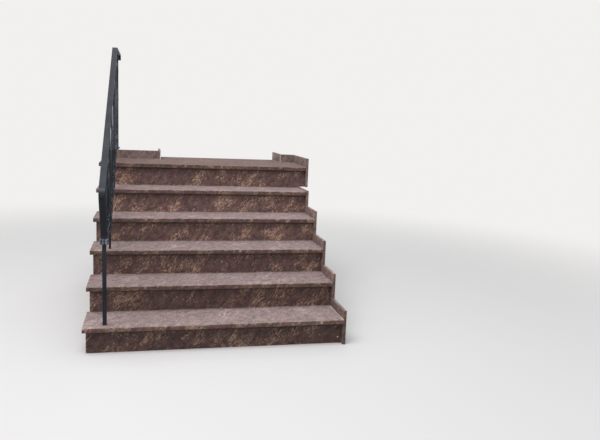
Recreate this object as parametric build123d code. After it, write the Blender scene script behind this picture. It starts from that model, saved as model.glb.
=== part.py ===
from build123d import *
from math import atan, cos, degrees, sin
import os

# Outdoor stair of natural stone slabs on a solid core, with a wrought-iron railing on its left side.
# Millimetres. +X runs to the right along the treads, +Y up the flight and +Z upwards.
# The origin is in the plane of the base, at the middle of the tread length and of the whole depth.

# Flight
riser_count = 6
going = 300
first_rise = 176
rise = 186
tread_length = 1715
landing_depth = 580
threshold_depth = 400

# Stone
tread_thickness = 30
riser_thickness = 20
nosing = 42
arris = 2
end_overhang = 20
flank_thickness = 20
skirting_thickness = 20
skirting_height = 65
landing_skirting_height = 80
landing_extra = 64
ledge_height = 10
threshold_width = 1180
threshold_margin = 105

# Railing
rail_inset = 135
post_size = 25
bar_size = 16
post_setback = 60
handrail_width = 40
handrail_thickness = 12
handrail_height = 960
landing_rail_height = 935
handrail_reach = 190
handrail_drop = 45
handrail_bend = 30
end_bend = 45
rail_bend = 60
lower_rail_gap = 100
lower_rail_start = 700
lower_rail_width = 20
lower_rail_thickness = 10
baluster_size = 12
collar_level = 724
collar_height = 34
collar_wall = 7
scroll_thickness = 5
scroll_width = 8
eye_ratio = 0.7
eye_turn = 150
end_scroll_radius = 50
end_scroll_drops = (155, 395)

# Places that follow from the sizes
flight_run = (riser_count - 1) * going
front = -(flight_run + landing_depth + threshold_depth) / 2
left = -tread_length / 2
right = tread_length / 2
landing_right = right + landing_extra
top_nosing = front + flight_run
landing_back = top_nosing + landing_depth
threshold_back = landing_back + threshold_depth
step_back = nosing + riser_thickness
landing_level = first_rise + (riser_count - 1) * rise
ledge_level = landing_level - rise + ledge_height
pitch = atan(rise / going)
rail_x = left + rail_inset
recess_right = landing_right - threshold_margin
recess_left = recess_right - threshold_width
threshold_x = (recess_left + skirting_thickness, recess_right - skirting_thickness)
core_left = left + end_overhang + flank_thickness
slab_bed = landing_level - tread_thickness
back_face = landing_back + skirting_thickness
outer_right = landing_right + skirting_thickness
flight_right = right + skirting_thickness
threshold_sides = ((left, threshold_x[0], recess_left), (outer_right, threshold_x[1], recess_right))


def level(step):
    """Height of the top of a tread; step 6 is the landing."""
    return first_rise + (step - 1) * rise


def nosing_y(step):
    """Front edge of a tread."""
    return front + (step - 1) * going


def block(x, y, z):
    """A squared piece between two values on each axis."""
    spans = (x, y, z)
    centre = [(low + high) / 2 for low, high in spans]
    return Pos(*centre) * Box(*[high - low for low, high in spans])


def side_shape(points, x_middle, width):
    """A shape drawn in the side view, as deep as width about x_middle."""
    outline = make_face(Polyline(*points, close=True))
    return Pos(x_middle, 0, 0) * extrude(Plane.YZ * outline, width / 2, both=True)


# Stone slabs of the steps

def walked_slab(x, y, step):
    """A tread or landing slab, with its front and end edges taken off."""
    slab = block(x, y, (level(step) - tread_thickness, level(step)))
    front_edges = slab.faces().sort_by(Axis.Y)[0].edges()
    return chamfer(front_edges, arris)


def tread(step):
    return walked_slab((left, right), (nosing_y(step), nosing_y(step + 1) + step_back), step)


def riser(step):
    """The upright slab under a nosing, from the tread below it or from the base."""
    bottom = level(step - 1) if step > 1 else 0
    depth = (nosing_y(step) + nosing, nosing_y(step) + step_back)
    return block((left + end_overhang, right), depth, (bottom, level(step) - tread_thickness))


def top_riser():
    """The riser of the landing, which reaches further right above the ledge."""
    depth = (nosing_y(riser_count) + nosing, nosing_y(riser_count) + step_back)
    return riser(riser_count) + block((right, landing_right), depth, (ledge_level, slab_bed))


# Core and left side

def stepped_outline(first, last, back, last_top):
    """Side outline under the slabs, from the riser of one step to a given back."""
    points = [(nosing_y(first) + step_back, 0)]
    for step in range(first, last):
        points.append((nosing_y(step) + step_back, level(step) - tread_thickness))
        points.append((nosing_y(step + 1) + step_back, level(step) - tread_thickness))
    points.append((nosing_y(last) + step_back, last_top))
    return points + [(back, last_top), (back, 0)]


def core():
    """Solid masonry under the flight and, up to the level of the ledge, under the landing."""
    outline = stepped_outline(1, riser_count, back_face, ledge_level)
    return side_shape(outline, (core_left + flight_right) / 2, flight_right - core_left)


def landing_plate():
    """The concrete plate of the landing, which reaches out over the ledge at the right."""
    return block((core_left, outer_right), (top_nosing + step_back, back_face),
                 (ledge_level, slab_bed))


def threshold_core():
    """Masonry under the threshold slab and its skirting."""
    return block((recess_left, recess_right), (back_face, threshold_back), (0, slab_bed))


def flank_slab(first, last, back):
    """A slab of the left side, cut to the steps that it covers."""
    x_middle = left + end_overhang + flank_thickness / 2
    outline = stepped_outline(first, last, back, level(last) - tread_thickness)
    return side_shape(outline, x_middle, flank_thickness)


# Skirting along the right side and the back

def skirting_beside_riser(step):
    """Upright strip at the right end of a riser, flush with the nosing."""
    bottom = level(step - 1) - tread_thickness if step > 1 else 0
    top = level(step) + (skirting_height if step < riser_count - 1 else 0)
    x = (right, flight_right)
    if step == riser_count:
        bottom, top = ledge_level, landing_level + landing_skirting_height
        x = (landing_right, outer_right)
    return block(x, (nosing_y(step), nosing_y(step) + step_back), (bottom, top))


def skirting_beside_tread(step):
    """Level strip along the right end of a tread; beside step 5 it is low and carries riser 6."""
    back, top = nosing_y(step + 1), level(step) + skirting_height
    if step == riser_count - 1:
        back, top = back + step_back, ledge_level
    return block((right, flight_right), (nosing_y(step) + step_back, back),
                 (level(step) - tread_thickness, top))


def landing_skirting(x, y):
    return block(x, y, (slab_bed, landing_level + landing_skirting_height))


def strip_in_plan(*points):
    """A strip of the landing's skirting, from its outline in plan."""
    height = landing_level + landing_skirting_height - slab_bed
    return Pos(0, 0, slab_bed) * extrude(make_face(Polyline(*points, close=True)), height, dir=(0, 0, 1))


def skirting_back():
    """Strips on both sides of the threshold, mitred where the skirting turns along it."""
    return Compound(children=[
        strip_in_plan((end, landing_back), (inner, landing_back), (outer, back_face), (end, back_face))
        for end, inner, outer in threshold_sides])


def skirting_threshold():
    """Strips along both ends of the threshold, mitred to the strips at the back."""
    return Compound(children=[
        strip_in_plan((inner, landing_back), (inner, threshold_back), (outer, threshold_back), (outer, back_face))
        for _, inner, outer in threshold_sides])


# Railing

def nosing_line(y):
    """Height of the line through the nosings."""
    return first_rise + (y - front) * rise / going


def top_of_lower_rail(y, radius=0):
    """Upper face of the lower rail, or the middle of a round of that radius that rests on it."""
    slope = nosing_line(y) + lower_rail_gap + (lower_rail_thickness / 2 + radius) / cos(pitch)
    flat = lower_rail_thickness / 2 + radius
    return min(max(slope, lower_rail_start + flat), landing_level + lower_rail_gap + flat)


def under_handrail(y, radius=0):
    """Lower face of the handrail, or the middle of a round of that radius that meets it."""
    slope = nosing_line(y) + handrail_height - (handrail_thickness + radius) / cos(pitch)
    return min(slope, landing_level + landing_rail_height - handrail_thickness - radius)


def y_on_line(height_over_nosings, z):
    """Where a line at a height over the nosings comes to a level."""
    return front + (z - height_over_nosings - first_rise) * going / rise


def upright(y, size, bottoms):
    """A square bar up to the handrail; bottoms gives the height under it at a given y."""
    low, high = y - size / 2, y + size / 2
    points = [(low, bottoms(low)), (high, bottoms(high)),
              (high, under_handrail(high)), (low, under_handrail(low))]
    return side_shape(points, rail_x, size)


def swept_handrail(path):
    """The handrail's section, its top corners taken off, carried along a path in the side view."""
    path = Plane.YZ * path
    profile = Rectangle(handrail_width, handrail_thickness)
    profile = chamfer(profile.vertices().group_by(Axis.Y)[-1], handrail_thickness / 4)
    start = Plane(origin=path @ 0, x_dir=(1, 0, 0), z_dir=path % 0)
    return Pos(rail_x, 0, 0) * sweep(start * profile, path=path)


posts_y = [nosing_y(step) + post_setback for step in range(1, riser_count, 2)]
end_bar_y = posts_y[-1] + 2 * going
bay_ends = posts_y + [end_bar_y]
end_sizes = [post_size, bar_size, bar_size, bar_size]
slope_axis = handrail_height - handrail_thickness / 2 / cos(pitch)
landing_axis = landing_level + landing_rail_height - handrail_thickness / 2
handrail_start_y = posts_y[0] - post_size
handrail_start = (handrail_start_y, nosing_line(handrail_start_y) + slope_axis)


def handrail():
    """One bar up the flight, bent level over the landing and turned down at its end."""
    bend_y = y_on_line(slope_axis, landing_axis)
    end_y = back_face - handrail_thickness / 2
    path = FilletPolyline(handrail_start, (bend_y, landing_axis), (end_y, landing_axis),
                          (end_y, landing_axis - handrail_drop), radius=handrail_bend)
    return swept_handrail(path)


def handrail_end():
    """The lower end swings down in front of the first post and back to its collar."""
    nose_y = posts_y[0] - handrail_reach
    nose = (nose_y, nosing_line(nose_y) + slope_axis)
    foot_y = posts_y[0] - post_size / 2 - handrail_thickness / 2
    collar_top = collar_level + collar_height / 2
    foot = (foot_y, collar_level - collar_height / 2)
    path = FilletPolyline(handrail_start, nose, (foot_y, collar_top + end_bend / 2), foot,
                          radius=end_bend)
    return swept_handrail(path)


def collar():
    """A forged band that holds the handrail's end to the first post."""
    bar_y = posts_y[0] - post_size / 2 - handrail_thickness
    held = block((rail_x - handrail_width / 2, rail_x + handrail_width / 2),
                 (bar_y, bar_y + handrail_thickness),
                 (collar_level - collar_height, collar_level + collar_height))
    post = block((rail_x - post_size / 2, rail_x + post_size / 2),
                 (posts_y[0] - post_size / 2, posts_y[0] + post_size / 2),
                 (collar_level - collar_height, collar_level + collar_height))
    half_width = handrail_width / 2 + collar_wall
    band = block((rail_x - half_width, rail_x + half_width),
                 (bar_y - collar_wall, posts_y[0] + post_size / 2 + collar_wall),
                 (collar_level - collar_height / 2, collar_level + collar_height / 2))
    band = chamfer(band.edges().filter_by(Axis.Z), collar_wall / 2)
    return band - held - post


def lower_rail():
    """A flat bar, level, sloping and level again to the back, cut where uprights stand."""
    start_y = posts_y[0] + post_size / 2
    first_bend = y_on_line(lower_rail_gap, lower_rail_start)
    second_bend = y_on_line(lower_rail_gap, landing_level + lower_rail_gap)
    path = FilletPolyline((start_y, lower_rail_start), (first_bend, lower_rail_start),
                          (second_bend, landing_level + lower_rail_gap),
                          (back_face, landing_level + lower_rail_gap), radius=rail_bend)
    band = Plane.YZ * trace(path, line_width=lower_rail_thickness)
    bar = Pos(rail_x, 0, 0) * extrude(band, lower_rail_width / 2, both=True)
    for y in bay_ends[1:]:
        bar -= block((rail_x - lower_rail_width, rail_x + lower_rail_width),
                     (y - bar_size / 2, y + bar_size / 2), (0, landing_axis))
    return bar


def bay_middle(bay):
    """Where the baluster of a bay stands, half-way between its uprights."""
    return (bay_ends[bay] + bay_ends[bay + 1]) / 2


def scroll_cells(bay):
    """Four equal cells a bay, two on each side of its baluster, as middle and clear width."""
    low = bay_ends[bay] + end_sizes[bay] / 2
    high = bay_ends[bay + 1] - bar_size / 2
    middle = bay_middle(bay)
    spaces = ((low, middle - baluster_size / 2), (middle + baluster_size / 2, high))
    cells = []
    for start, end in spaces:
        width = (end - start) / 2
        cells += [(start + width / 2, width), (end - width / 2, width)]
    return cells


def spiral(start, tangent, radius):
    """Two arcs: over the top to the far side, then tighter and back into the eye."""
    outer = JernArc(start, tangent, radius, -180)
    return [outer, JernArc(outer @ 1, outer % 1, radius * eye_ratio, -eye_turn)]


def s_scroll(width, spacing):
    """An upright S of flat bar as wide as its cell, with its two rounds a given spacing apart."""
    radius = (width - scroll_thickness) / 2
    turn = 2 * atan(2 * radius / spacing)
    stem = JernArc((0, 0), (-sin(turn), cos(turn)), spacing / 2 / sin(turn), -degrees(turn))
    half = trace([stem] + spiral(stem @ 1, stem % 1, radius), line_width=scroll_thickness)
    return half + Rot(0, 0, 180) * half


def scrolls(bay):
    """Mirrored pairs of S scrolls, which rest on the lower rail and meet the handrail."""
    pieces = []
    for i, (y, width) in enumerate(scroll_cells(bay)):
        low = top_of_lower_rail(y, width / 2)
        high = under_handrail(y, width / 2)
        face = s_scroll(width, high - low)
        if i % 2:
            face = mirror(face, about=Plane.YZ)
        shape = extrude(Plane.YZ * face, scroll_width / 2, both=True)
        pieces.append(Pos(rail_x, y, (low + high) / 2) * shape)
    return Compound(children=pieces)


def end_scrolls():
    """Two snail scrolls on the far side of the end bar."""
    start = (end_bar_y + (bar_size + scroll_thickness) / 2, 0)
    face = trace(spiral(start, (0, 1), end_scroll_radius), line_width=scroll_thickness)
    shape = Pos(rail_x, 0, 0) * extrude(Plane.YZ * face, scroll_width / 2, both=True)
    return Compound(children=[Pos(0, 0, landing_axis - drop) * shape for drop in end_scroll_drops])


parts = {"stair_core": core(), "landing_plate": landing_plate(), "threshold_core": threshold_core()}
for step in range(1, riser_count):
    parts[f"tread_{step}"] = tread(step)
    parts[f"riser_{step}"] = riser(step)
    parts[f"skirting_riser_{step}"] = skirting_beside_riser(step)
for step in range(1, riser_count - 1):
    parts[f"skirting_tread_{step}"] = skirting_beside_tread(step)
parts["skirting_riser_5"] = Compound(children=[skirting_beside_riser(5), skirting_beside_tread(5)])
parts[f"riser_{riser_count}"] = top_riser()
parts[f"skirting_riser_{riser_count}"] = skirting_beside_riser(riser_count)

parts["landing_slab"] = walked_slab((left, landing_right), (top_nosing, landing_back), riser_count)
parts["threshold_slab"] = block(threshold_x, (landing_back, threshold_back), (slab_bed, landing_level))
parts["skirting_landing"] = landing_skirting(
    (landing_right, outer_right), (top_nosing + step_back, landing_back))
parts["skirting_back"] = skirting_back()
parts["skirting_threshold"] = skirting_threshold()

parts["flank_slab_front"] = flank_slab(1, 2, nosing_y(3) + step_back)
parts["flank_slab_middle"] = flank_slab(3, 4, nosing_y(5) + step_back)
parts["flank_slab_back"] = flank_slab(5, riser_count, back_face)

post_names = ("lower_post", "middle_post", "upper_post")
for name, step, y, size in zip(post_names, (1, 3, 5), posts_y, end_sizes):
    parts[name] = upright(y, size, lambda _, step=step: level(step))
parts["post_collar"] = collar()
parts["handrail"] = handrail()
parts["handrail_end"] = handrail_end()
parts["lower_rail"] = lower_rail()
parts["end_bar"] = upright(end_bar_y, bar_size,
                           lambda _: landing_level + lower_rail_gap - lower_rail_thickness / 2)
parts["balusters"] = Compound(children=[
    upright(bay_middle(bay), baluster_size, top_of_lower_rail) for bay in range(len(posts_y))])
for bay, name in enumerate(("scrolls_lower", "scrolls_middle", "scrolls_upper")):
    parts[name] = scrolls(bay)
parts["end_scrolls"] = end_scrolls()

os.makedirs("parts", exist_ok=True)
for name, shape in parts.items():
    export_step(shape, f"parts/{name}.step")
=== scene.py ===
import bpy
import numpy as np
from math import atan, cos, pi, radians, sin
from mathutils import Matrix, Vector


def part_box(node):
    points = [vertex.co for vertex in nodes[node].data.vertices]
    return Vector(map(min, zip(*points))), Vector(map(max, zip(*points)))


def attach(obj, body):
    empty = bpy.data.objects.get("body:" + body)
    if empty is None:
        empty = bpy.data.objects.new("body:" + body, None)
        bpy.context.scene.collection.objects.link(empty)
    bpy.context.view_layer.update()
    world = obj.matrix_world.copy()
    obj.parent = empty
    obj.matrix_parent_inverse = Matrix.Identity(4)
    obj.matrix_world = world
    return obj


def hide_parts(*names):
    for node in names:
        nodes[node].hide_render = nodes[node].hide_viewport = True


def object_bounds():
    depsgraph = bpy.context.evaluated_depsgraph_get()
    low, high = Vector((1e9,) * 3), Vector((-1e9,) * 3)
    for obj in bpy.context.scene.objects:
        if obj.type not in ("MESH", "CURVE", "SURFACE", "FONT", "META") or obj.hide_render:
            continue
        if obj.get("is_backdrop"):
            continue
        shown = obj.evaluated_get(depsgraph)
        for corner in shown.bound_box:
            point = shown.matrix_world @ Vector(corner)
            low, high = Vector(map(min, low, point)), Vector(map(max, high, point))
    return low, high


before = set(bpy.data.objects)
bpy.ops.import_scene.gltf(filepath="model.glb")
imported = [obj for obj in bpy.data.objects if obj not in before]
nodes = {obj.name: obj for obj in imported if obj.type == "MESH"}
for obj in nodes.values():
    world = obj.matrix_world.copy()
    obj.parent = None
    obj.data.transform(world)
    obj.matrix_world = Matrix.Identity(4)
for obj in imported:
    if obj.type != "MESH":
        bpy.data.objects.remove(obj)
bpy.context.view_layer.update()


# Viewpoint
# A hand-held camera at eye height, left of the middle of the flight and 4 m before it.
# It looks a little to the right and down, and was held with a slight tilt.

eye = Vector((-0.4545, -5.216, 1.518))
turned_right, tipped_down, tilted = radians(13.734), radians(8.948), radians(2.445)
focal_length_px = 628.65
picture_width_px = 600

camera_data = bpy.data.cameras.new("viewpoint")
camera_data.sensor_width = 36
camera_data.lens = focal_length_px / picture_width_px * camera_data.sensor_width
camera = bpy.data.objects.new("viewpoint", camera_data)
bpy.context.scene.collection.objects.link(camera)
camera.matrix_world = (Matrix.Translation(eye) @ Matrix.Rotation(-turned_right, 4, "Z")
                       @ Matrix.Rotation(pi / 2 - tipped_down, 4, "X") @ Matrix.Rotation(tilted, 4, "Z"))
bpy.context.scene.camera = camera
bpy.context.scene.view_settings.view_transform = "Standard"


# Studio floor and light
# A pale matt floor that fades into a pale backdrop, under a wide soft light from above and in
# front, as under an even sky. The backdrop shows to the camera and in reflections only, and the
# floor throws back less light than it shows, so that shade gathers under the nosings.

def colour(code):
    """An sRGB hex value as a linear colour: c / 12.92 below 0.04045, else ((c + 0.055) / 1.055) ** 2.4."""
    parts = np.array([int(code[i:i + 2], 16) for i in (1, 3, 5)]) / 255
    linear = np.where(parts <= 0.04045, parts / 12.92, ((parts + 0.055) / 1.055) ** 2.4)
    return (*linear.tolist(), 1.0)


def add_node(tree, kind, **settings):
    """Adds a node. A setting names an input, with _ for a space, or inN for input N, or a property."""
    made = tree.nodes.new(kind)
    inputs = {socket.name.replace(" ", "_"): socket for socket in reversed(made.inputs)}
    inputs |= {f"in{i}": socket for i, socket in enumerate(made.inputs)}
    for name, value in settings.items():
        if name not in inputs:
            setattr(made, name, value)
        elif isinstance(value, bpy.types.NodeSocket):
            tree.links.new(value, inputs[name])
        elif isinstance(value, bpy.types.Node):
            tree.links.new(value.outputs[0], inputs[name])
        else:
            inputs[name].default_value = value
    return made


def new_material(name):
    """An empty material; returns it, its tree and its output node."""
    made = bpy.data.materials.new(name)
    made.use_nodes = True
    made.node_tree.nodes.clear()
    return made, made.node_tree, add_node(made.node_tree, "ShaderNodeOutputMaterial")


def grid_faces(rows, columns, closed_rows=False, closed_columns=False):
    """Quads between neighbours of a rows x columns grid of vertices, which may close on itself."""
    i, j = np.meshgrid(np.arange(rows - (not closed_rows)), np.arange(columns - (not closed_columns)),
                       indexing="ij")
    i, j = i.ravel(), j.ravel()
    next_i, next_j = (i + 1) % rows, (j + 1) % columns
    corners = [i * columns + j, i * columns + next_j, next_i * columns + next_j, next_i * columns + j]
    return np.stack(corners, axis=1).tolist()


def mesh_object(name, shape, material, sharp_above=35):
    """An object from vertices and faces; edges that turn by over sharp_above degrees stay crisp."""
    vertices, faces = shape
    mesh = bpy.data.meshes.new(name)
    mesh.from_pydata(np.asarray(vertices).reshape(-1, 3).tolist(), [], faces)
    mesh.polygons.foreach_set("use_smooth", np.ones(len(mesh.polygons), bool))
    mesh.set_sharp_from_angle(angle=radians(sharp_above))
    mesh.materials.append(material)
    made = bpy.data.objects.new(name, mesh)
    bpy.context.scene.collection.objects.link(made)
    return made


backdrop = "#f1f0ee"
sky_tint, sky_strength = "#eef1f5", 0.60
floor_shown, floor_bounce = "#dad8d5", "#96928e"
floor_size, floor_stations = 60.0, 13
clear_floor, lost_floor = 2.3, 6.5

# Matt pale board: no shine, and a soft shadow under the stair. It is lost in the backdrop further out.
floor_material, tree, output = new_material("matt_studio_floor")
place = add_node(tree, "ShaderNodeTexCoord").outputs["Object"]
rays = add_node(tree, "ShaderNodeLightPath")
distance = add_node(tree, "ShaderNodeVectorMath", operation="LENGTH", in0=place)
fade = add_node(tree, "ShaderNodeMapRange", interpolation_type="SMOOTHSTEP", Value=distance.outputs["Value"],
                From_Min=clear_floor, From_Max=lost_floor)
tone = add_node(tree, "ShaderNodeMix", data_type="RGBA", in0=rays.outputs["Is Camera Ray"],
                in6=colour(floor_bounce), in7=colour(floor_shown))
matt = add_node(tree, "ShaderNodeBsdfDiffuse", Color=tone.outputs[2])
far_glow = add_node(tree, "ShaderNodeEmission", Color=colour(backdrop))
floor_mix = add_node(tree, "ShaderNodeMixShader", Fac=fade, in1=matt, in2=far_glow)
tree.links.new(floor_mix.outputs[0], output.inputs["Surface"])

stations = floor_size * np.linspace(-0.5, 0.5, floor_stations)
u, v = np.meshgrid(stations, stations, indexing="ij")
floor_grid = np.stack([v, -u, 0 * u], axis=-1)
floor = mesh_object("studio_floor", (floor_grid, grid_faces(*u.shape)), floor_material)
floor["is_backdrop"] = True

world = bpy.data.worlds.new("even_light")
world.use_nodes = True
world.node_tree.nodes.clear()
tree = world.node_tree
rays = add_node(tree, "ShaderNodeLightPath")
seen = add_node(tree, "ShaderNodeMath", operation="MAXIMUM", in0=rays.outputs["Is Camera Ray"],
                in1=rays.outputs["Is Glossy Ray"])
seen = add_node(tree, "ShaderNodeMath", operation="MAXIMUM", in0=seen,
                in1=rays.outputs["Is Transmission Ray"])
lit = add_node(tree, "ShaderNodeBackground", Color=colour(sky_tint), Strength=sky_strength)
shown = add_node(tree, "ShaderNodeBackground", Color=colour(backdrop), Strength=1.0)
mix = add_node(tree, "ShaderNodeMixShader", Fac=seen, in1=lit, in2=shown)
tree.links.new(mix.outputs[0], add_node(tree, "ShaderNodeOutputWorld").inputs["Surface"])
bpy.context.scene.world = world


def soft_box(name, place, target, size, power, tint):
    """A square area light at a place, turned to a target."""
    data = bpy.data.lights.new(name, "AREA")
    data.shape, data.size, data.energy, data.color = "SQUARE", size, power, colour(tint)[:3]
    made = bpy.data.objects.new(name, data)
    made.location = place
    made.rotation_euler = (Vector(target) - Vector(place)).to_track_quat("-Z", "Y").to_euler()
    bpy.context.scene.collection.objects.link(made)


soft_box("sky_light", place=(-1.6, -2.8, 7.0), target=(0.0, 0.0, 0.5), size=5.5, power=470.0,
         tint="#fbfbff")
soft_box("rear_light", place=(1.5, 6.0, 5.5), target=(0.0, 0.5, 0.8), size=4.0, power=70.0,
         tint="#f7f9ff")


# Core
# Concrete cast in place against rough boards, with a cast plate for the landing. It carries
# every slab, and shows at the right, behind and below.

board_tones = ((0.36, "#84827b"), (0.52, "#97958e"), (0.64, "#a5a29b"), (0.80, "#b4b1a9"))
board_width, board_contrast = 0.12, 0.13
grain_thickness, grain_length, grain_relief = 0.012, 0.5, 0.5
clouds_per_metre = 3.2
fin_width = 0.0035
hole_spacing, hole_chances, largest_hole, hole_tone = 0.03, (0.62, 1.0), 0.17, "#5c5a55"


def stops(ramp, *pairs):
    """Gives a colour ramp its stops, as pairs of place and hex colour."""
    elements = ramp.color_ramp.elements
    while len(elements) < len(pairs):
        elements.new(0.5)
    for element, (place, code) in zip(elements, pairs):
        element.position = place
        element.color = colour(code)
    return ramp


def give_finish(names, material):
    """Puts a material on nodes whose own shape is right."""
    for name in names:
        nodes[name].data.materials.clear()
        nodes[name].data.materials.append(material)


# Board-cast concrete: dull grey, each board's print a little lighter or darker than the next, with
# fins at the board joints, the boards' grain and small air holes.
concrete, tree, output = new_material("board_cast_concrete")
place = add_node(tree, "ShaderNodeTexCoord").outputs["Object"]
split = add_node(tree, "ShaderNodeSeparateXYZ", Vector=place)
boards = add_node(tree, "ShaderNodeMath", operation="DIVIDE", in0=split.outputs["Z"], in1=board_width)
board = add_node(tree, "ShaderNodeMath", operation="FLOOR", in0=boards)
chance = add_node(tree, "ShaderNodeTexWhiteNoise", noise_dimensions="1D", W=board)
clouds = add_node(tree, "ShaderNodeTexNoise", Vector=place, Scale=clouds_per_metre, Detail=8.0,
                  Roughness=0.6)
shade = add_node(tree, "ShaderNodeMath", operation="MULTIPLY_ADD", in0=chance, in1=board_contrast,
                 in2=clouds)
tone = stops(add_node(tree, "ShaderNodeValToRGB", Fac=shade), *board_tones)
across = add_node(tree, "ShaderNodeMath", operation="PINGPONG", in0=split.outputs["Z"], in1=board_width / 2)
fin = add_node(tree, "ShaderNodeMapRange", Value=across, From_Min=0.0, From_Max=fin_width,
               To_Min=1.0, To_Max=0.0)
holes = add_node(tree, "ShaderNodeTexVoronoi", Vector=place, Scale=1 / hole_spacing)
hole_size = add_node(tree, "ShaderNodeMapRange", Value=holes.outputs["Color"], From_Min=hole_chances[0],
                     From_Max=hole_chances[1], To_Min=0.0, To_Max=largest_hole)
pit = add_node(tree, "ShaderNodeMath", operation="LESS_THAN", in0=holes.outputs["Distance"], in1=hole_size)
grain_place = add_node(tree, "ShaderNodeMapping", Vector=place,
                       Scale=(1 / grain_length, 1 / grain_length, 1 / grain_thickness))
grain = add_node(tree, "ShaderNodeTexNoise", Vector=grain_place, Scale=1.0, Detail=5.0)
height = add_node(tree, "ShaderNodeMath", operation="MULTIPLY_ADD", in0=grain, in1=grain_relief, in2=fin)
height = add_node(tree, "ShaderNodeMath", operation="MULTIPLY_ADD", in0=pit, in1=-1.0, in2=height)
relief = add_node(tree, "ShaderNodeBump", Strength=0.8, Distance=0.003, Height=height)
holed = add_node(tree, "ShaderNodeMix", data_type="RGBA", in0=pit, in6=tone, in7=colour(hole_tone))
surface = add_node(tree, "ShaderNodeBsdfPrincipled", Base_Color=holed.outputs[2], Roughness=0.92,
                   Specular_IOR_Level=0.25, Normal=relief)
tree.links.new(surface.outputs[0], output.inputs["Surface"])

give_finish(("stair_core", "landing_plate", "threshold_core"), concrete)


# Risers and side slabs
# Sawn slabs of a dark mauve-brown gneiss, honed smooth and set upright in mortar on the core. Its
# bedding leans up to the right, so tan and rust-coloured streaks cross every face at a slant.

bedding_normal = Vector((-1.28, 0.68, 1.0)).normalized()
streak_length, streak_thickness = 0.028, 0.0065
mottle_length, mottle_thickness = streak_length * 1.8, streak_thickness * 5
band_length, band_thickness = 0.22, 0.10
nest_range, nest_pull = (0.42, 0.66), (-0.09, 0.14)
vein_edge = 0.12
sways_per_metre, sway_reach = 4.0, 0.07
hues_per_metre = 28.0
patch_size = 0.06
crystal = 0.008
lime_spot, lime_spot_radius, lime_spot_tone = (0.832, -1.198, 0.043), 0.0055, "#eae6df"
spot_core = 0.7
# The dark band of painted shade under each nosing: how far down it reaches, its share and its tone.
nosing_shade_reach, nosing_shade_share, nosing_shade_tone = (0.011, 0.024), 0.62, "#211714"
patch_tints = ((0.36, "#ecf3ec"), (0.50, "#fdfbf9"), (0.64, "#fff0f3"))
joint = 0.003


def bedded(tree, place, length, thickness):
    """Coordinates that turn the bedding level and measure it in streaks of a length and thickness."""
    lean = bedding_normal.rotation_difference(Vector((0, 0, 1))).to_euler()
    level = add_node(tree, "ShaderNodeMapping", Vector=place, Rotation=lean)
    return add_node(tree, "ShaderNodeMapping", Vector=level, Scale=(1 / length, 1 / length, 1 / thickness))


def gneiss(tree, place, ground, veins, vein_strength, broken=0.13, stretch=1.0, start=0.55, glitter=0.22):
    """Colour of the streaked stone, and a height for its crystals.

    Stretched noise gives the ground, and slow noise tints it grey-green or pink in patches. A vein shows
    where finer stretched noise passes start. A slower noise lowers that inside nests, and the crystals,
    as Voronoi cells, move it by broken from grain to grain and lighten or darken it by glitter."""
    sway = add_node(tree, "ShaderNodeTexNoise", Vector=place, Scale=sways_per_metre, Detail=2.0)
    swayed = add_node(tree, "ShaderNodeVectorMath", operation="MULTIPLY_ADD", in0=sway.outputs["Color"],
                      in1=(sway_reach, sway_reach, sway_reach), in2=place)
    mottle = add_node(tree, "ShaderNodeTexNoise", Scale=1.0, Detail=6.0, Roughness=0.66,
                      Vector=bedded(tree, swayed, mottle_length, mottle_thickness))
    body = stops(add_node(tree, "ShaderNodeValToRGB", Fac=mottle), *ground)
    cast = add_node(tree, "ShaderNodeTexNoise", Vector=place, Scale=1 / patch_size, Detail=4.0)
    cast = stops(add_node(tree, "ShaderNodeValToRGB", Fac=cast), *patch_tints)
    body = add_node(tree, "ShaderNodeVectorMath", operation="MULTIPLY", in0=body, in1=cast)
    streak = add_node(tree, "ShaderNodeTexNoise", Scale=1.0, Detail=3.0, Roughness=0.6,
                      Vector=bedded(tree, swayed, streak_length * stretch, streak_thickness))
    band = add_node(tree, "ShaderNodeTexNoise", Scale=1.0, Detail=2.0,
                    Vector=bedded(tree, place, band_length, band_thickness))
    gathered = add_node(tree, "ShaderNodeMapRange", Value=band, From_Min=nest_range[0],
                        From_Max=nest_range[1], To_Min=nest_pull[0], To_Max=nest_pull[1])
    height = add_node(tree, "ShaderNodeMath", operation="ADD", in0=streak, in1=gathered)
    grains = add_node(tree, "ShaderNodeTexVoronoi", Vector=place, Scale=1 / crystal)
    height = add_node(tree, "ShaderNodeMath", operation="MULTIPLY_ADD", in0=grains.outputs["Color"],
                      in1=broken, in2=height)
    strength = add_node(tree, "ShaderNodeMapRange", Value=height, From_Min=start + broken / 2,
                        From_Max=start + vein_edge + broken / 2, To_Min=0.0, To_Max=vein_strength)
    hue = add_node(tree, "ShaderNodeTexNoise", Vector=place, Scale=hues_per_metre, Detail=2.0)
    vein = stops(add_node(tree, "ShaderNodeValToRGB", Fac=hue), *veins)
    veined = add_node(tree, "ShaderNodeMix", data_type="RGBA", in0=strength, in6=body, in7=vein)
    glint = add_node(tree, "ShaderNodeMapRange", Value=grains.outputs["Color"], To_Min=1 - glitter,
                     To_Max=1 + glitter)
    speckled = add_node(tree, "ShaderNodeVectorMath", operation="SCALE", in0=veined.outputs[2], Scale=glint)
    return speckled.outputs["Vector"], grains.outputs["Distance"]


def by_level(tree, level, *runs):
    """A factor that follows the level: each run (low, high, end) takes it from 1 at low to end at high."""
    factor = 1.0
    for low, high, end in runs:
        run = add_node(tree, "ShaderNodeMapRange", Value=level, From_Min=low, From_Max=high,
                       To_Min=1.0, To_Max=end)
        factor = add_node(tree, "ShaderNodeMath", operation="MULTIPLY", in0=run, in1=factor)
    return factor


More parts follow.
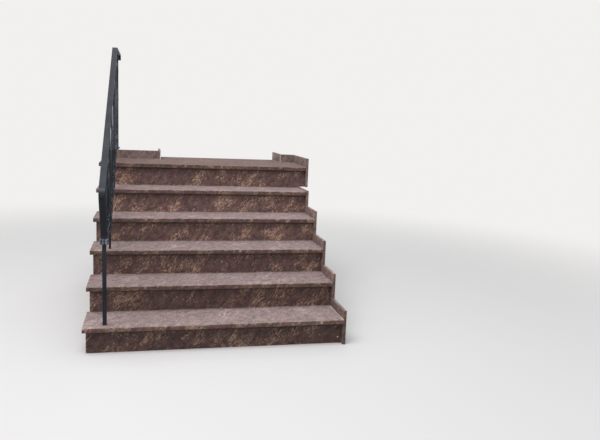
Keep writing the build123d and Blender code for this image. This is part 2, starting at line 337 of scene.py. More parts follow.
def spotted(tree, place, base, centre, radius, code):
    """The base colour with one round spot, which fades from spot_core of its radius outwards."""
    away = add_node(tree, "ShaderNodeVectorMath", operation="DISTANCE", in0=place, in1=centre)
    spot = add_node(tree, "ShaderNodeMapRange", Value=away.outputs["Value"], From_Min=radius * spot_core,
                    From_Max=radius, To_Min=1.0, To_Max=0.0)
    return add_node(tree, "ShaderNodeMix", data_type="RGBA", in0=spot, in6=base, in7=colour(code)).outputs[2]


treads = [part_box(f"tread_{step}") for step in range(1, 6)]
rise = treads[1][1][2] - treads[0][1][2]
flight_right = treads[0][1][0]
first_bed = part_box("riser_1")[1][2]

# Honed gneiss: a smooth, slightly shiny dark stone in which the warm streaks stay sharp. Risers 3 to 6
# are of lighter blocks, and painted shade darkens each riser just under its nosing.
dark_ground = ((0.28, "#3f3233"), (0.44, "#574341"), (0.58, "#6b524d"), (0.75, "#7e655e"))
warm_veins = ((0.34, "#906858"), (0.47, "#b08e79"), (0.58, "#c6aa8d"), (0.70, "#a67a68"))
lighter_risers = ((0.27, 0.80, 1.52), (0.90, 0.93, 0.81))

honed_gneiss, tree, output = new_material("honed_gneiss")
place = add_node(tree, "ShaderNodeTexCoord").outputs["Object"]
stone, crystals = gneiss(tree, place, dark_ground, warm_veins, vein_strength=0.65, glitter=0.25)
stone = spotted(tree, place, stone, lime_spot, lime_spot_radius, lime_spot_tone)
height = add_node(tree, "ShaderNodeSeparateXYZ", Vector=place).outputs["Z"]
block = by_level(tree, height, *lighter_risers)
stone = add_node(tree, "ShaderNodeVectorMath", operation="SCALE", in0=stone, Scale=block)
# Painted shade: each riser turns dark brown just under its nosing, where the overhang shades it.
over_bed = add_node(tree, "ShaderNodeMath", operation="SUBTRACT", in0=height, in1=first_bed)
over_bed = add_node(tree, "ShaderNodeMath", operation="FLOORED_MODULO", in0=over_bed, in1=rise)
nosing_shade = add_node(tree, "ShaderNodeMapRange", Value=over_bed, From_Min=rise - nosing_shade_reach[1],
                 From_Max=rise - nosing_shade_reach[0], To_Min=0.0, To_Max=nosing_shade_share)
stone = add_node(tree, "ShaderNodeMix", data_type="RGBA", in0=nosing_shade, in6=stone, in7=colour(nosing_shade_tone))
relief = add_node(tree, "ShaderNodeBump", Strength=0.4, Distance=0.0002, Height=crystals)
surface = add_node(tree, "ShaderNodeBsdfPrincipled", Base_Color=stone.outputs[2], Roughness=0.46,
                   Specular_IOR_Level=0.35, Normal=relief)
tree.links.new(surface.outputs[0], output.inputs["Surface"])

risers = [f"riser_{step}" for step in range(1, 7)]
give_finish(risers, honed_gneiss)

# Sawn gneiss: the same stone straight from the saw, a little paler and duller than where it is honed. The
# strips between the foot and the landing are of paler blocks. Dirt and painted shade darken the front ends
# of the strips beside the flight, and less of it lies higher up.
sawn_ground = ((0.28, "#5f5151"), (0.44, "#786562"), (0.58, "#8a7772"), (0.75, "#9d8982"))
paler_strips = ((0.22, 0.42, 1.26), (1.00, 1.10, 0.80))
# Dirt and painted shade on the strips' front ends: its share, the levels over which it fades out, and the
# turn of a face to the front.
dirt_and_shade_share, dirt_and_shade_levels, front_turn = 0.40, (0.70, 1.07), (-0.5, -0.9)

sawn_gneiss, tree, output = new_material("sawn_gneiss")
place = add_node(tree, "ShaderNodeTexCoord").outputs["Object"]
stone, crystals = gneiss(tree, place, sawn_ground, warm_veins, vein_strength=0.40)
axes = add_node(tree, "ShaderNodeSeparateXYZ", Vector=place)
height = axes.outputs["Z"]
block = by_level(tree, height, *paler_strips)
normal = add_node(tree, "ShaderNodeNewGeometry").outputs["Normal"]
normal = add_node(tree, "ShaderNodeSeparateXYZ", Vector=normal)
# Painted shade and dirt: the front ends of the strips beside the flight darken, less higher up.
dirt_and_shade = add_node(tree, "ShaderNodeMapRange", Value=height, From_Min=dirt_and_shade_levels[0], From_Max=dirt_and_shade_levels[1],
                To_Min=dirt_and_shade_share, To_Max=0.0)
front = add_node(tree, "ShaderNodeMapRange", Value=normal.outputs["Y"], From_Min=front_turn[0],
                 From_Max=front_turn[1])
beside_flight = add_node(tree, "ShaderNodeMath", operation="GREATER_THAN", in0=axes.outputs["X"],
                         in1=flight_right)
dirt_and_shade = add_node(tree, "ShaderNodeMath", operation="MULTIPLY", in0=dirt_and_shade, in1=front)
dirt_and_shade = add_node(tree, "ShaderNodeMath", operation="MULTIPLY", in0=dirt_and_shade, in1=beside_flight)
free_of_dirt_and_shade = add_node(tree, "ShaderNodeMath", operation="SUBTRACT", in0=1.0, in1=dirt_and_shade)
block = add_node(tree, "ShaderNodeMath", operation="MULTIPLY", in0=block, in1=free_of_dirt_and_shade)
stone = add_node(tree, "ShaderNodeVectorMath", operation="SCALE", in0=stone, Scale=block).outputs["Vector"]
relief = add_node(tree, "ShaderNodeBump", Strength=0.5, Distance=0.0004, Height=crystals)
surface = add_node(tree, "ShaderNodeBsdfPrincipled", Base_Color=stone, Roughness=0.62,
                   Specular_IOR_Level=0.3, Normal=relief)
tree.links.new(surface.outputs[0], output.inputs["Surface"])

riser_backs = [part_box(name)[1][1] for name in risers]
slab_beds = [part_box(name)[1][2] for name in risers]
side_arris = 0.0012


def tube_faces(rows, columns):
    """Quads between closed sections, each a row of the grid, and one face over either end."""
    ends = [list(range(columns))[::-1], list(range((rows - 1) * columns, rows * columns))]
    return grid_faces(rows, columns, closed_columns=True) + ends


def prism(outline, span, axis):
    """A straight piece: an outline in the two axes that follow the given one, carried over a span of it.

    The outline is first turned to run anticlockwise, so that the faces point outwards."""
    outline = np.array(outline, float)
    across, up = outline.T
    if np.sum(across * np.roll(up, -1) - up * np.roll(across, -1)) < 0:
        outline = outline[::-1]
    count = len(outline)
    vertices = np.concatenate([np.broadcast_to(np.array(span)[:, None, None], (2, count, 1)),
                               np.broadcast_to(outline, (2, count, 2))], axis=-1)
    return np.roll(vertices, axis, axis=-1), tube_faces(2, count)


def side_slab(first, last, low, high):
    """A side slab over the steps from first to last: its outline in the side view, carried across in x.

    The outline climbs one level at the back of each riser, over a straight foot."""
    outline = [(low[1], 0.0)]
    for step in range(first, last):
        outline += [(riser_backs[step - 1], slab_beds[step - 1]), (riser_backs[step], slab_beds[step - 1])]
    outline += [(riser_backs[last - 1], slab_beds[last - 1]), (high[1], slab_beds[last - 1]), (high[1], 0.0)]
    outline = np.array(outline)
    outline[outline[:, 0] == low[1], 0] += joint / 2 if first > 1 else 0.0
    outline[outline[:, 0] == high[1], 0] -= joint / 2 if last < 6 else 0.0
    return prism(outline, (low[0], high[0]), 0)


def ease(piece, arris, segments):
    """Rounds the edges of a piece that is otherwise finished."""
    eased = piece.modifiers.new("eased_arris", "BEVEL")
    eased.width, eased.segments, eased.harden_normals = arris, segments, True


for name, first, last in (("front", 1, 2), ("middle", 3, 4), ("back", 5, 6)):
    node = f"flank_slab_{name}"
    slab = mesh_object(f"{node}_eased", side_slab(first, last, *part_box(node)), sawn_gneiss)
    ease(slab, side_arris, segments=2)
    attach(slab, "root")
    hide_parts(node)


# Skirting
# Strips of the same stone along the right side and the back, 20 mm thick, their sawn
# arrises eased with a rubbing stone. Each is set on its own, with a mortar joint to the next.

skirting_arris, mortar_arris = 0.0015, 0.0004
flat_support, support_share = 0.009, 0.4
end_inset = 0.97
chip_spread = 2.4
mitre_joint, joint_recess = 0.006, 0.0006


def slab_surface(low, high, arris, spacing=None, wear=0.0, chips=()):
    """A sawn slab: a section with rounded corners, carried from end to end along x.

    At a corner of the section a point is centre + (r - inset) * (cos a, sin a) over a quarter turn, and
    one point more lies on the flat on either side. Near an end x is r * (1 - cos b) from it and the
    inset end_inset * r * (1 - sin b), which rounds the end too. Wear, by a random depth, and chips, as
    bells size * exp(-((x - place) / (size * chip_spread)) ** 2), push the corners in along diagonals."""
    low, high = np.array(low, float), np.array(high, float)
    half, middle = (high - low) / 2, (high + low) / 2
    b = np.linspace(0, pi / 2, 4)
    support = min(flat_support, support_share * (half.min() - arris))
    count = max(int(2 * half[0] / spacing), 2) if spacing else 2
    reach = half[0] - arris - support
    ends = half[0] - arris * (1 - np.cos(b))
    x = np.concatenate([-ends, np.linspace(-reach, reach, count), ends[::-1]])
    inset = end_inset * arris * np.concatenate([1 - np.sin(b), np.zeros(count), (1 - np.sin(b))[::-1]])

    side_y, side_z = np.array([1, -1, -1, 1]), np.array([1, 1, -1, -1])
    turn = (np.arange(4)[:, None] + np.array([0, 0, 0.25, 0.5, 0.75, 1, 1])) * pi / 2
    slide = support * np.array([-1, 0, 0, 0, 0, 0, 1])
    bends = np.array([0, 1, 1, 1, 1, 1, 0])
    radius = (arris - inset)[:, None, None]
    push = wear * np.random.default_rng(len(x)).random((len(x), 4)) ** 2
    for place, size in chips:
        push[:, 1] += size * np.exp(-((x + middle[0] - place) / (size * chip_spread)) ** 2)
    push = push[:, :, None] * bends / 2 ** 0.5
    y = ((side_y * (half[1] - arris))[:, None] + radius * np.cos(turn) - slide * np.sin(turn)
         - push * side_y[:, None])
    z = ((side_z * (half[2] - arris))[:, None] + radius * np.sin(turn) + slide * np.cos(turn)
         - push * side_z[:, None])
    x = np.broadcast_to(x[:, None, None], y.shape)
    vertices = np.stack([x, y, z], axis=-1).reshape(len(x), -1, 3) + middle
    return vertices, tube_faces(*vertices.shape[:2])


def joined(shapes):
    """One shape from several: each face's numbers are moved on by the vertices that come before it."""
    start, vertices, faces = 0, [], []
    for points, polygons in shapes:
        points = np.asarray(points).reshape(-1, 3)
        vertices.append(points)
        faces += [[start + corner for corner in polygon] for polygon in polygons]
        start += len(points)
    return np.concatenate(vertices), faces


def strip(low, high, gap_low=False, gap_high=False):
    """A skirting strip, shortened along y by half a joint where it meets the next one."""
    low, high = np.array(low, float), np.array(high, float)
    low[1] += joint / 2 * gap_low
    high[1] -= joint / 2 * gap_high
    return slab_surface(low, high, skirting_arris)


def flush_joint(low, high, visible):
    """Mortar in a joint, set back from the faces whose direction is given, as a jointer leaves it."""
    low, high = np.array(low, float), np.array(high, float)
    for axis, side in visible:
        low[axis] += joint_recess * (side < 0)
        high[axis] -= joint_recess * (side > 0)
    return slab_surface(low, high, mortar_arris)


sill_low, sill_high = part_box("threshold_slab")
back_low, back_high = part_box("skirting_back")
reveal_low, reveal_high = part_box("skirting_threshold")
ledge_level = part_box("landing_plate")[0][2]

skirting, joints = {}, []
for step in range(1, 7):
    low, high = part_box(f"skirting_riser_{step}")
    high = (high[0], riser_backs[step - 1], high[2])
    skirting[f"skirting_riser_{step}"] = [strip(low, high, gap_high=True)]
    joints.append(flush_joint((low[0], high[1] - joint / 2, max(low[2], slab_beds[step - 1])),
                              (high[0], high[1] + joint / 2, high[2]), [(0, -1), (2, 1)]))
for step in range(1, 5):
    low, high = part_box(f"skirting_tread_{step}")
    skirting[f"skirting_tread_{step}"] = [strip(low, high, gap_low=True, gap_high=True)]
    joints.append(flush_joint((low[0], high[1] - joint, low[2]), high, [(0, -1), (2, 1)]))
low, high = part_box("skirting_riser_5")
ledge_strip = strip((low[0], riser_backs[4], slab_beds[4]), (high[0], high[1], ledge_level), gap_low=True)
skirting["skirting_riser_5"].append(ledge_strip)
low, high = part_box("skirting_landing")
skirting["skirting_landing"] = [strip(low, (high[0], high[1] - joint / 2, high[2]),
                                      gap_low=True, gap_high=True)]
joints.append(flush_joint((low[0], high[1] - joint, low[2]), high, [(0, -1), (2, 1)]))


def mitred(shape, along, end, across, face):
    """The shape with one end cut at 45 degrees, so that it is longest at its face on the other axis.

    Every vertex near the end moves back along the strip by its distance from that face."""
    vertices, faces = shape
    vertices = vertices.reshape(-1, 3).copy()
    strip_side = np.sign(vertices[:, along].mean() - end)
    near = np.abs(vertices[:, along] - end) < back_high[1] - back_low[1]
    vertices[near, along] += strip_side * np.abs(vertices[near, across] - face)
    return vertices, faces


white_joints = []
skirting["skirting_back"], skirting["skirting_threshold"] = [], []
for corner, back_end, reveal_face in ((sill_low[0], back_low[0], reveal_low[0]),
                                      (sill_high[0], back_high[0], reveal_high[0])):
    side = np.sign(back_end - corner)
    x_low, x_high = sorted((corner + side * mitre_joint, back_end))
    shape = slab_surface((x_low, *back_low[1:]), (x_high, *back_high[1:]), skirting_arris)
    skirting["skirting_back"].append(mitred(shape, 0, corner, 1, back_low[1]))
    x_low, x_high = sorted((corner, reveal_face))
    shape = slab_surface((x_low, reveal_low[1] + mitre_joint, reveal_low[2]), (x_high, *reveal_high[1:]),
                         skirting_arris)
    skirting["skirting_threshold"].append(mitred(shape, 1, reveal_low[1], 0, corner))
    edge, gap = side * joint_recess, side * mitre_joint
    mitre = [(corner + edge, back_low[1] + joint_recess), (corner + gap, back_low[1] + joint_recess),
             (reveal_face + gap, back_high[1]), (reveal_face, back_high[1]),
             (reveal_face, back_high[1] + mitre_joint), (corner + edge, back_low[1] + mitre_joint)]
    white_joints.append(prism(mitre, (back_low[2], back_high[2] - joint_recess), 2))

for node, shapes in skirting.items():
    piece = mesh_object(f"{node}_eased", joined(shapes), sawn_gneiss)
    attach(piece, "root")
    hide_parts(node)


# Treads, landing and threshold
# The same stone in slabs of 30 mm, honed on the front edge and flamed on top, which greys it and
# leaves it rough. Shoes and weather have rounded the arrises and broken small chips out of them.

worn_arris, arris_wear = 0.0030, 0.0011
station_spacing = 0.006
chips_per_metre, chip_depth, smallest_chip = 4.0, 0.0046, 0.2
large_chip, large_chip_size = (0.701, -1.24, 0.161), 1.2
large_chip_radius, large_chip_tone = 0.0085, "#d8bfb1"
dice = np.random.default_rng(7)

# Flamed gneiss: a flame has burst the top of the slab, which is pale, matt and rough, with faint
# whitish streaks. The edge that it left is ragged and shows light broken crystals. The landing top is
# darker and warmer from painted shade, as under eaves, and some soiling.
pale_ground = ((0.28, "#7a6a69"), (0.46, "#948381"), (0.60, "#a18f8d"), (0.76, "#b4a19c"))
pale_veins = ((0.35, "#b5a29b"), (0.52, "#d0c0b8"), (0.68, "#b39a90"))
edge_ground = ((0.28, "#5b4644"), (0.44, "#725a55"), (0.58, "#846b64"), (0.75, "#967d75"))
edge_tones, slab_tone = ((0.18, 0.36, 0.80), (1.00, 1.07, 1.17)), (0.18, 0.36, 0.93)
ragged_edge, ragged_share, flame_turn = 0.011, 1.1, (0.95, 1.35)
spall_length, spall_depth, spall_fade = 0.035, 0.022, 0.12
spall_range, spall_share, broken_crystal = (0.54, 0.61), 0.62, "#c4a797"
# Painted shade and soiling on the landing top: the levels where it comes in, and its tint.
soil_and_shade_levels, soil_and_shade_tone = (1.07, 1.106), "#d5cec8"
honed_roughness, flamed_roughness = 0.50, 0.93
honed_relief, flamed_relief = 0.25, 1.0

flamed_gneiss, tree, output = new_material("flamed_gneiss")
coordinates = add_node(tree, "ShaderNodeTexCoord")
place = coordinates.outputs["Object"]
edge_stone, _ = gneiss(tree, place, edge_ground, warm_veins, vein_strength=0.62)
height = add_node(tree, "ShaderNodeSeparateXYZ", Vector=place).outputs["Z"]
edge_stone = add_node(tree, "ShaderNodeVectorMath", operation="SCALE", in0=edge_stone,
                      Scale=by_level(tree, height, *edge_tones))
top_stone, top_crystals = gneiss(tree, place, pale_ground, pale_veins, vein_strength=0.56, broken=0.02,
                                 stretch=3.0, start=0.595, glitter=0.27)
facing = add_node(tree, "ShaderNodeSeparateXYZ", Vector=coordinates.outputs["Normal"]).outputs["Z"]
ragged = add_node(tree, "ShaderNodeTexNoise", Vector=place, Scale=1 / ragged_edge, Detail=3.0)
facing = add_node(tree, "ShaderNodeMath", operation="MULTIPLY_ADD", in0=ragged, in1=ragged_share, in2=facing)
flamed = add_node(tree, "ShaderNodeMapRange", Value=facing, From_Min=flame_turn[0],
                  From_Max=flame_turn[1]).outputs[0]
stone = add_node(tree, "ShaderNodeMix", data_type="RGBA", in0=flamed, in6=edge_stone, in7=top_stone)
under_top = add_node(tree, "ShaderNodeMath", operation="SUBTRACT", in0=treads[0][1][2], in1=height)
under_top = add_node(tree, "ShaderNodeMath", operation="FLOORED_MODULO", in0=under_top, in1=rise)
spall = add_node(tree, "ShaderNodeTexNoise", Vector=place, Scale=1 / spall_length, Detail=4.0)
spall = add_node(tree, "ShaderNodeMath", operation="MULTIPLY_ADD", in0=under_top,
                 in1=-spall_fade / spall_depth, in2=spall)
spall = add_node(tree, "ShaderNodeMapRange", Value=spall, From_Min=spall_range[0], From_Max=spall_range[1],
                 To_Max=spall_share)
sheltered = add_node(tree, "ShaderNodeMath", operation="SUBTRACT", in0=1.0, in1=flamed)
rim = add_node(tree, "ShaderNodeMath", operation="MULTIPLY", in0=spall, in1=sheltered)
stone = add_node(tree, "ShaderNodeMix", data_type="RGBA", in0=rim, in6=stone.outputs[2],
                 in7=colour(broken_crystal)).outputs[2]
stone = add_node(tree, "ShaderNodeVectorMath", operation="SCALE", in0=stone,
                 Scale=by_level(tree, height, slab_tone))
# Painted shade with some soiling: the landing top is darkened and warmed.
soil_and_shade = add_node(tree, "ShaderNodeMapRange", Value=height, From_Min=soil_and_shade_levels[0],
                   From_Max=soil_and_shade_levels[1])
soil_and_shade_tint = add_node(tree, "ShaderNodeMix", data_type="RGBA", in0=soil_and_shade, in6=colour("#ffffff"),
                in7=colour(soil_and_shade_tone))
stone = add_node(tree, "ShaderNodeVectorMath", operation="MULTIPLY", in0=stone, in1=soil_and_shade_tint.outputs[2])
stone = spotted(tree, place, stone, large_chip, large_chip_radius, large_chip_tone)
gloss = add_node(tree, "ShaderNodeMapRange", Value=flamed, To_Min=honed_roughness, To_Max=flamed_roughness)
depth = add_node(tree, "ShaderNodeMapRange", Value=flamed, To_Min=honed_relief, To_Max=flamed_relief)
height = add_node(tree, "ShaderNodeMath", operation="MULTIPLY", in0=top_crystals, in1=depth)
relief = add_node(tree, "ShaderNodeBump", Strength=0.7, Distance=0.0008, Height=height)
surface = add_node(tree, "ShaderNodeBsdfPrincipled", Base_Color=stone, Roughness=gloss,
                   Specular_IOR_Level=0.10, Diffuse_Roughness=0.5, Normal=relief)
tree.links.new(surface.outputs[0], output.inputs["Surface"])

for name in [f"tread_{step}" for step in range(1, 6)] + ["landing_slab", "threshold_slab"]:
    low, high = (np.array(corner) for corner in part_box(name))
    length = high[0] - low[0]
    low[1] += joint if name == "threshold_slab" else 0.0
    chips = [(dice.uniform(low[0], high[0]), chip_depth * dice.uniform(smallest_chip, 1.0))
             for _ in range(int(chips_per_metre * length))]
    if name == "tread_1":
        chips.append((large_chip[0], chip_depth * large_chip_size))
    shape = slab_surface(low, high, worn_arris, station_spacing, arris_wear, chips)
    piece = mesh_object(f"{name}_worn", shape, flamed_gneiss)
    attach(piece, "root")
    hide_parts(name)


# Mortar joints
# Small hollow beads and narrow flush joints of a grout tinted like the stone, pointed by hand. White
# lime mortar shows in the mitres of the skirting, and beside the lowest tread, where water splashes.

bead_leg, thin_bead_leg, bead_step = 0.0045, 0.0028, 0.02
finger_waves = ((0.20, 41, 0.0), (0.14, 97, 1.3))
grout_width, grout_height = 0.009, 0.003
sand_grain, sand_share, stains_per_metre = 0.004, 0.35, 7.0
tone_places = (0.50, 0.68, 0.86)


def sandy(name, *tones):
    """Mortar: fine noise for its sand, and slower noise for stains, together through a ramp of tones."""
    made, tree, output = new_material(name)
    place = add_node(tree, "ShaderNodeTexCoord").outputs["Object"]
    sand = add_node(tree, "ShaderNodeTexNoise", Vector=place, Scale=1 / sand_grain, Detail=3.0)
    stain = add_node(tree, "ShaderNodeTexNoise", Vector=place, Scale=stains_per_metre, Detail=4.0)
    tone = add_node(tree, "ShaderNodeMath", operation="MULTIPLY_ADD", in0=sand, in1=sand_share, in2=stain)
    tone = stops(add_node(tree, "ShaderNodeValToRGB", Fac=tone), *zip(tone_places, tones))
    relief = add_node(tree, "ShaderNodeBump", Strength=0.6, Distance=0.0008, Height=sand)
    surface = add_node(tree, "ShaderNodeBsdfPrincipled", Base_Color=tone, Roughness=0.95,
                       Specular_IOR_Level=0.2, Normal=relief)
    tree.links.new(surface.outputs[0], output.inputs["Surface"])
    return made


# White lime mortar gives thin pale lines. Grout tinted like the stone hardly shows.
lime_mortar = sandy("white_lime_mortar", "#aaa19a", "#e0d9d2", "#f4f0ea")
tinted_grout = sandy("stone_tinted_grout", "#6a5c59", "#85766f", "#9c8e88")


def corner_bead(start, end, away, leg=bead_leg):
    """Mortar along the foot of an upright face, from start to end, with a quarter hollow to its front.

    At u over a quarter turn a point is corner + leg * ((1 - sin u) * away + (1 - cos u) * up), and the
    leg swells and shrinks along the bead by share * sin(rate * length + shift), as a finger leaves it."""
    start, end, away, up = (np.array(v, float) for v in (start, end, away, (0, 0, 1)))
    length = np.linalg.norm(end - start)
    s = np.linspace(0, 1, max(int(length / bead_step), 2) + 1)
    waves = sum(share * np.sin(rate * s * length + shift) for share, rate, shift in finger_waves)
    uneven = leg * (1 + waves)
    u = np.linspace(0, pi / 2, 5)
    across = np.concatenate([[[0.0, 0.0]], np.stack([1 - np.sin(u), 1 - np.cos(u)], axis=1)])
    offset = across[:, :1] * away + across[:, 1:] * up
    vertices = start + s[:, None, None] * (end - start) + uneven[:, None, None] * offset
    faces = tube_faces(*vertices.shape[:2])
    if np.dot(np.cross(away, up), end - start) < 0:
        faces = [face[::-1] for face in faces]
    return vertices, faces


def rounded_square():
    """Points round a square of half-side 1: (cos t, sin t) with each part raised to the third root."""
    t = np.linspace(0, 2 * pi, 33)[:-1]
    round_points = np.stack([np.cos(t), np.sin(t)], axis=1)
    return np.sign(round_points) * np.abs(round_points) ** (1 / 3)


def foot_ring(x, y, z, half):
    """A hollow fillet of grout round the foot of a square bar.

    Along a rounded square and at u over a quarter turn, a point lies half + grout_width * (1 - cos u)
    out and grout_height * (1 - sin u) up."""
    u = np.linspace(0, pi / 2, 5)
    out = half + grout_width * np.concatenate([[0.0], 1 - np.cos(u)])
    level = z + grout_height * np.concatenate([[0.0], 1 - np.sin(u)])
    flat = rounded_square()[:, None, :] * out[None, :, None] + (x, y)
    rows, columns = flat.shape[:2]
    vertices = np.concatenate([flat, np.broadcast_to(level[:, None], (rows, columns, 1))], axis=-1)
    return vertices, grid_faces(rows, columns, closed_rows=True, closed_columns=True)


beads = []
for step, (low, high) in enumerate(treads):
    riser_low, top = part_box(risers[step + 1])[0], high[2]
    corner = (flight_right, riser_low[1], top)
    beads.append(corner_bead((riser_low[0], riser_low[1], top), corner, (0, -1, 0)))
    side_bead = corner_bead((flight_right, low[1] + worn_arris, top), corner, (-1, 0, 0),
                            leg=bead_leg if step else thin_bead_leg)
    (beads if step else white_joints).append(side_bead)
landing_low, landing_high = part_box("landing_slab")
top, back, front = landing_high[2], landing_high[1], landing_low[1] + worn_arris
for start, end, away in (((landing_high[0], front), (landing_high[0], back), (-1, 0, 0)),
                         ((landing_low[0], back), (sill_low[0], back), (0, -1, 0)),
                         ((sill_high[0], back), (landing_high[0], back), (0, -1, 0)),
                         ((sill_low[0], sill_low[1]), (sill_low[0], sill_high[1]), (1, 0, 0)),
                         ((sill_high[0], sill_low[1]), (sill_high[0], sill_high[1]), (-1, 0, 0))):
    beads.append(corner_bead((*start, top), (*end, top), away))

joints.append(flush_joint(sill_low, (sill_high[0], sill_low[1] + joint, top), [(2, 1)]))
for name in ("front", "middle"):
    low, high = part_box(f"flank_slab_{name}")
    joints.append(flush_joint((low[0], high[1] - joint / 2, 0.0), (high[0], high[1] + joint / 2, high[2]),
                              [(0, -1)]))

posts = {name: [np.array(corner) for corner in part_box(name)]
         for name in ("lower_post", "middle_post", "upper_post", "end_bar")}
rings = []
for name in ("lower_post", "middle_post", "upper_post"):
    low, high = posts[name]
    centre = (low + high) / 2
    rings.append(foot_ring(centre[0], centre[1], low[2], (high[0] - low[0]) / 2))

for name, shapes, mortar in (("white_joints", white_joints, lime_mortar),
                             ("flush_joints", joints, tinted_grout),
                             ("pointed_beads", beads, tinted_grout),
                             ("post_foot_grout", rings, tinted_grout)):
    piece = mesh_object(name, joined(shapes), mortar)
    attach(piece, "root")


# Railing
# Wrought iron bars, forged and welded, with a coat of satin grey-black paint. The handrail and the
# posts are rolled bars with eased arrises, and a swaged collar holds the handrail's end to its post.

paint_tones, patches_per_metre = ((0.35, "#1f2124"), (0.65, "#2e3035")), 7.0
# Rubbed paint and painted highlights: light bluish streaks of metal, with their width, length, range and
# tone.
rub_highlight_width, rub_highlight_length, rub_highlight_range, bare_metal_highlight = 0.009, 0.09, (0.40, 0.58), "#8d94a3"
# Painted reflection: the paint's shine is tinted blue, as by the sky above it.
painted_sky_reflection = "#d0ddf4"
hammer_mark = 0.014
bar_arris = 0.002
collar_groove = 0.0035
going = treads[1][0][1] - treads[0][0][1]
handrail_level_from = 0.221


def painted_iron(name, roughness, dent, rubbed_highlight=0.0):
    """Paint on iron: slow noise for its tone and gloss, over dents that are smooth Voronoi cells.

    Noise drawn out along z shows by the share given how far light metal comes through the paint: rubbed
    paint and painted highlights."""
    made, tree, output = new_material(name)
    place = add_node(tree, "ShaderNodeTexCoord").outputs["Object"]
    patches = add_node(tree, "ShaderNodeTexNoise", Vector=place, Scale=patches_per_metre, Detail=4.0)
    paint = stops(add_node(tree, "ShaderNodeValToRGB", Fac=patches), *paint_tones)
    rub_highlight_place = add_node(tree, "ShaderNodeMapping", Vector=place,
                    Scale=(1 / rub_highlight_width, 1 / rub_highlight_width, 1 / rub_highlight_length))
    highlight_streaks = add_node(tree, "ShaderNodeTexNoise", Vector=rub_highlight_place, Scale=1.0, Detail=2.0)
    bare_highlight = add_node(tree, "ShaderNodeMapRange", Value=highlight_streaks, From_Min=rub_highlight_range[0], From_Max=rub_highlight_range[1],
                    To_Max=rubbed_highlight)
    paint = add_node(tree, "ShaderNodeMix", data_type="RGBA", in0=bare_highlight, in6=paint,
                     in7=colour(bare_metal_highlight)).outputs[2]
    gloss = add_node(tree, "ShaderNodeMapRange", Value=patches, To_Min=roughness[0], To_Max=roughness[1])
    marks = add_node(tree, "ShaderNodeTexVoronoi", Vector=place, feature="SMOOTH_F1",
                     Scale=0.5 / hammer_mark)
    relief = add_node(tree, "ShaderNodeBump", Strength=0.5, Distance=dent, Height=marks.outputs["Distance"])
    surface = add_node(tree, "ShaderNodeBsdfPrincipled", Base_Color=paint, Roughness=gloss,
                       Specular_IOR_Level=0.34, Specular_Tint=colour(painted_sky_reflection), Normal=relief)
    tree.links.new(surface.outputs[0], output.inputs["Surface"])
    return made


# Rolled bars are nearly flat under their paint. Hammered ones keep their dents, which break up the
# highlights. On the collar and the scrolls' ends light bluish metal shows through in streaks: paint rubbed
# by hands and weather, and painted highlights.
rolled_iron = painted_iron("painted_rolled_iron", roughness=(0.32, 0.48), dent=0.0012)
hammered_iron = painted_iron("painted_hammered_iron", roughness=(0.16, 0.34), dent=0.0040)
rubbed_highlit_iron = painted_iron("rubbed_painted_iron", roughness=(0.18, 0.36), dent=0.0020, rubbed_highlight=0.75)

give_finish(("handrail", "handrail_end", "lower_rail"), rolled_iron)
give_finish(("balusters", "scrolls_lower", "scrolls_middle", "scrolls_upper", "end_scrolls"), hammered_iron)

for name, (low, high) in posts.items():
    drop = (high[1] - low[1]) * rise / going if high[1] < handrail_level_from else 0.0
    outline = [(low[1], low[2]), (high[1], low[2]), (high[1], high[2]), (low[1], high[2] - drop)]
    bar = mesh_object(f"{name}_eased", prism(outline, (low[0], high[0]), 0), rolled_iron)
    ease(bar, bar_arris, segments=3)
    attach(bar, "root")
    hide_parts(name)


def swaged_collar(low, high):
    """A band with two swellings: a rounded square whose half-side is less by the groove's depth times
    1 - |sin(2 pi v)| ** 0.5, with v from 0 at its foot to 1 at its top."""
    middle, half = (low + high) / 2, (high - low) / 2
    v = np.linspace(0, 1, 21)
    inset = collar_groove * (1 - np.abs(np.sin(2 * pi * v)) ** 0.5)
    flat = rounded_square() * (half[:2] - inset[:, None])[:, None, :] + middle[:2]
    level = np.broadcast_to((low[2] + v * (high[2] - low[2]))[:, None, None], flat.shape[:2] + (1,))
    return np.concatenate([flat, level], axis=-1), tube_faces(*flat.shape[:2])


low, high = (np.array(corner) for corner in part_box("post_collar"))
collar = mesh_object("swaged_collar", swaged_collar(low, high), rubbed_highlit_iron)
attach(collar, "root")
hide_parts("post_collar")


# Scroll tips and welds
# The tip of each scroll is rolled into a small snub before the bar is bent, and the scrolls are
# welded to the bars that they touch. The welds are small ground beads under the same paint.

bar_thickness = 0.005
baluster = 0.012
snub_radius, snub_width, snub_edge, snub_hollow = 0.0065, 0.0096, 0.0012, 0.3
eye_ratio, eye_turn = 0.7, radians(150)
weld_half, weld_ripple, weld_ripples = (0.0048, 0.0018, 0.0085), 0.08, 5
lower_rail_slopes_from, lower_rail_level_from = -0.556, 0.260
cell_margin = 0.001
pitch = atan(rise / going)
rail_x = (posts["lower_post"][0][0] + posts["lower_post"][1][0]) / 2


def snub(y, z):
    """A rolled tip: a profile (x, r) with rounded edges and hollow ends, turned about x at (y, z)."""
    b = np.linspace(0, pi / 2, 4)
    side = snub_width / 2 - snub_edge * (1 - np.cos(b))
    out = snub_radius - snub_edge * (1 - np.sin(b))
    x = np.concatenate([[-snub_width / 2], -side, side[::-1], [snub_width / 2]])
    r = np.concatenate([[snub_radius * snub_hollow], out, out[::-1], [snub_radius * snub_hollow]])
    turn = np.linspace(0, 2 * pi, 19)[:-1]
    vertices = np.stack([rail_x + x[:, None] + 0 * turn, y + r[:, None] * np.cos(turn),
                         z + r[:, None] * np.sin(turn)], axis=-1)
    return vertices, tube_faces(*vertices.shape[:2])


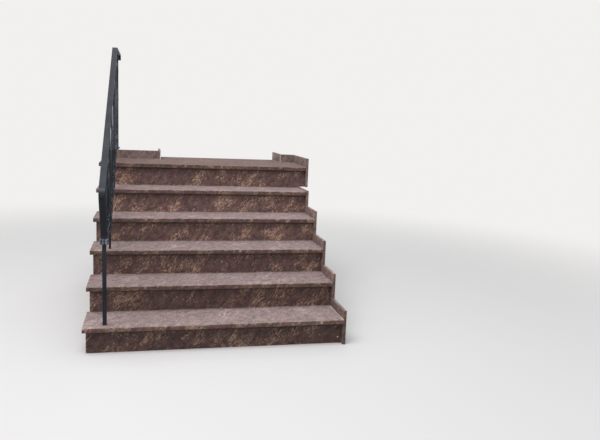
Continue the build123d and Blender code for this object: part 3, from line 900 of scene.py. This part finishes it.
def weld(y, z, lean=0.0):
    """A weld bead: an ellipsoid, flat beyond 72 degrees of latitude, leaning by an angle from upright.

    At a latitude it is cos(latitude) * (1 + weld_ripple * cos(weld_ripples * turn)) times as wide and
    as long, which gives it the ripples of a weld."""
    latitude = np.radians(np.linspace(-72, 72, 7))[:, None]
    turn = np.linspace(0, 2 * pi, 15)[:-1]
    ripple = 1 + weld_ripple * np.cos(weld_ripples * turn)
    x = rail_x + weld_half[0] * np.sin(latitude) + 0 * turn
    across = weld_half[1] * np.cos(latitude) * np.cos(turn) * ripple
    along = weld_half[2] * np.cos(latitude) * np.sin(turn) * ripple
    vertices = np.stack([x, y + across * cos(lean) - along * sin(lean),
                         z + across * sin(lean) + along * cos(lean)], axis=-1)
    return vertices, tube_faces(*vertices.shape[:2])


def tip_offset(width):
    """From the middle of a round to its snub: round the eye by eye_turn, on the inside of the bar."""
    radius = (width - bar_thickness) / 2
    reach = eye_ratio * radius + bar_thickness / 2 - snub_radius
    return (1 - eye_ratio) * radius + reach * cos(eye_turn), -reach * sin(eye_turn)


def node_points(name):
    """The corners of a node's mesh, as rows (x, y, z)."""
    points = np.empty(len(nodes[name].data.vertices) * 3, np.float32)
    nodes[name].data.vertices.foreach_get("co", points)
    return points.reshape(-1, 3)


tips, welds = [], []
uprights = list(posts.values())
for name, near, far in zip(("scrolls_lower", "scrolls_middle", "scrolls_upper"), uprights, uprights[1:]):
    points = node_points(name)
    middle = (near[0][1] + near[1][1] + far[0][1] + far[1][1]) / 4
    cells = []
    for start, end in ((near[1][1], middle - baluster / 2), (middle + baluster / 2, far[0][1])):
        cells += [(start, (start + end) / 2, 1), ((start + end) / 2, end, -1)]
    for start, end, hand in cells:
        width, y = end - start, (start + end) / 2
        inside = (points[:, 1] > start + cell_margin) & (points[:, 1] < end - cell_margin)
        high, low = points[inside, 2].max() - width / 2, points[inside, 2].min() + width / 2
        dy, dz = tip_offset(width)
        tips += [snub(y + hand * dy, high + dz), snub(y - hand * dy, low - dz)]
        welds += [weld(side, z) for side in (start, end) for z in (low, high)]
        over = pitch if y < handrail_level_from else 0.0
        under = pitch if lower_rail_slopes_from < y < lower_rail_level_from else 0.0
        welds += [weld(y - width / 2 * sin(over), high + width / 2 * cos(over), over + pi / 2),
                  weld(y + width / 2 * sin(under), low - width / 2 * cos(under), under + pi / 2)]

heights = node_points("end_scrolls")[:, 2]
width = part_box("end_scrolls")[1][1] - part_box("end_scrolls")[0][1]
bar_face = uprights[3][1][1]
dy, dz = tip_offset(width)
for group in (heights[heights > heights.mean()], heights[heights <= heights.mean()]):
    z = group.max() - width / 2
    tips.append(snub(bar_face + width / 2 + dy, z + dz))
    welds.append(weld(bar_face, z))

# Tips and welds take the rubbed iron, whose light streaks are painted highlights as well as rubbed paint.
for name, shapes in (("rolled_scroll_tips", tips), ("scroll_welds", welds)):
    piece = mesh_object(name, joined(shapes), rubbed_highlit_iron)
    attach(piece, "root")


low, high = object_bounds()
